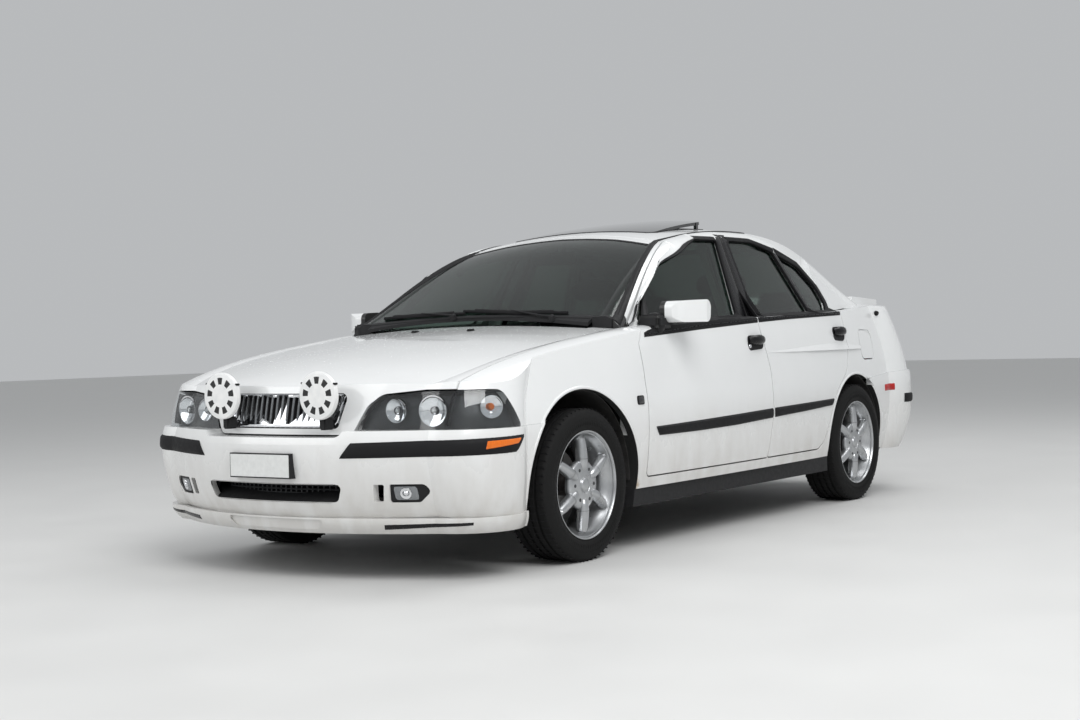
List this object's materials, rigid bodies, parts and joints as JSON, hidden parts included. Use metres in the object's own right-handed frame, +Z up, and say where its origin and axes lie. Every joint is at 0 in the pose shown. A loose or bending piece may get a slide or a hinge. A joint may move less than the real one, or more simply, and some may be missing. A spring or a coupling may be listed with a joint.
{
  "type": "four-door saloon car",
  "caption": "Four-door saloon car with hinged doors, bonnet and boot lid, steered front wheels and turning road wheels.",
  "frame": {"origin": "on the ground under the middle of the car's length and width", "axes": "+X points forward, +Y to the car's left, +Z up"},
  "size_m": [4.5162, 1.97, 1.449],
  "materials": {
    "paint": "gloss",
    "underbody": "satin",
    "black_plastic": "satin",
    "glass": "clear",
    "dark_glass": "tinted",
    "lamp_clear": "clear",
    "lamp_red": "gloss",
    "lamp_cover": "gloss",
    "steel": "satin",
    "cast": "rough",
    "alloy": "satin",
    "fabric": "woven",
    "tyre": "matt"
  },
  "bodies": {
    "car_body": {"floor": "underbody", "rear_structure": "underbody", "firewall": "underbody", "inner_wings": "underbody", "front_panel": "underbody", "arch_liners": "black_plastic", "body_side_left": "paint", "body_side_right": "paint", "roof": "paint", "windscreen": "glass", "rear_window": "glass", "cowl": "black_plastic", "sunroof_panel": "dark_glass", "front_wings": "paint", "headlamps": "lamp_clear", "front_bumper": "paint", "fog_lamps": "lamp_clear", "front_lip": "paint", "rear_bumper": "paint", "tail_lamps": "lamp_red", "front_plate": "black_plastic", "front_subframe": "steel", "front_struts": "steel", "rear_axle": "steel", "engine_block": "cast", "radiator": "alloy", "exhaust": "steel", "fuel_tank": "black_plastic", "front_seats": "fabric", "rear_seat": "fabric", "dashboard": "black_plastic", "sill_trims": "black_plastic"},
    "bonnet": {"bonnet": "paint", "grille": "black_plastic", "driving_lamps": "lamp_cover"},
    "boot_lid": {"boot_lid": "paint", "boot_spoiler": "paint"},
    "fuel_flap": {"fuel_flap": "paint"},
    "door_front_left": {"door_front_left": "paint", "glass_front_left": "glass", "mirror_left": "paint"},
    "door_front_right": {"door_front_right": "paint", "glass_front_right": "glass", "mirror_right": "paint"},
    "door_rear_left": {"door_rear_left": "paint", "glass_rear_left": "glass"},
    "door_rear_right": {"door_rear_right": "paint", "glass_rear_right": "glass"},
    "steering_wheel": {"steering_wheel": "black_plastic"},
    "knuckle_left": {"knuckle_left": "cast"},
    "knuckle_right": {"knuckle_right": "cast"},
    "wheel_front_left": {"tyre_front_left": "tyre", "wheel_front_left": "alloy"},
    "wheel_front_right": {"tyre_front_right": "tyre", "wheel_front_right": "alloy"},
    "wheel_rear_left": {"tyre_rear_left": "tyre", "wheel_rear_left": "alloy"},
    "wheel_rear_right": {"tyre_rear_right": "tyre", "wheel_rear_right": "alloy"}
  },
  "joints": [
    {"name": "steer_left", "type": "hinge", "parent": "car_body", "child": "knuckle_left", "pos_m": [1.311, 0.645, 0.298], "axis": [0, 0, 1], "range_deg": [-32, 32]},
    {"name": "steer_right", "type": "hinge", "parent": "car_body", "child": "knuckle_right", "pos_m": [1.311, -0.645, 0.298], "axis": [0, 0, 1], "range_deg": [-32, 32]},
    {"name": "steering_turn", "type": "hinge", "parent": "car_body", "child": "steering_wheel", "pos_m": [0.44, 0.375, 0.8], "axis": [-0.8601, 0, 0.5101], "range_deg": [-512, 512]},
    {"name": "spin_front_left", "type": "hinge", "parent": "knuckle_left", "child": "wheel_front_left", "pos_m": [1.311, 0.736, 0.298], "axis": [0, 1, 0], "continuous": true},
    {"name": "spin_front_right", "type": "hinge", "parent": "knuckle_right", "child": "wheel_front_right", "pos_m": [1.311, -0.736, 0.298], "axis": [0, 1, 0], "continuous": true},
    {"name": "spin_rear_left", "type": "hinge", "parent": "car_body", "child": "wheel_rear_left", "pos_m": [-1.251, 0.736, 0.298], "axis": [0, 1, 0], "continuous": true},
    {"name": "spin_rear_right", "type": "hinge", "parent": "car_body", "child": "wheel_rear_right", "pos_m": [-1.251, -0.736, 0.298], "axis": [0, 1, 0], "continuous": true},
    {"name": "open_door_front_left", "type": "hinge", "parent": "car_body", "child": "door_front_left", "pos_m": [0.882, 0.848, 0.6], "axis": [0, 0, -1], "range_deg": [0, 65]},
    {"name": "open_door_rear_left", "type": "hinge", "parent": "car_body", "child": "door_rear_left", "pos_m": [-0.19, 0.848, 0.6], "axis": [0, 0, -1], "range_deg": [0, 65]},
    {"name": "open_door_front_right", "type": "hinge", "parent": "car_body", "child": "door_front_right", "pos_m": [0.882, -0.848, 0.6], "axis": [0, 0, 1], "range_deg": [0, 65]},
    {"name": "open_door_rear_right", "type": "hinge", "parent": "car_body", "child": "door_rear_right", "pos_m": [-0.19, -0.848, 0.6], "axis": [0, 0, 1], "range_deg": [0, 65]},
    {"name": "open_bonnet", "type": "hinge", "parent": "car_body", "child": "bonnet", "pos_m": [0.93, 0, 0.936], "axis": [0, -1, 0], "range_deg": [0, 55]},
    {"name": "open_boot", "type": "hinge", "parent": "car_body", "child": "boot_lid", "pos_m": [-1.745, 0, 1.036], "axis": [0, 1, 0], "range_deg": [0, 65]},
    {"name": "open_fuel_flap", "type": "hinge", "parent": "car_body", "child": "fuel_flap", "pos_m": [-1.361, 0.812, 0.8], "axis": [0, 0, -1], "range_deg": [0, 95]}
  ],
  "couplings": [
    {"joint": "steer_right", "follows": "steer_left", "ratio": 1},
    {"joint": "steering_turn", "follows": "steer_left", "ratio": 15.8}
  ]
}
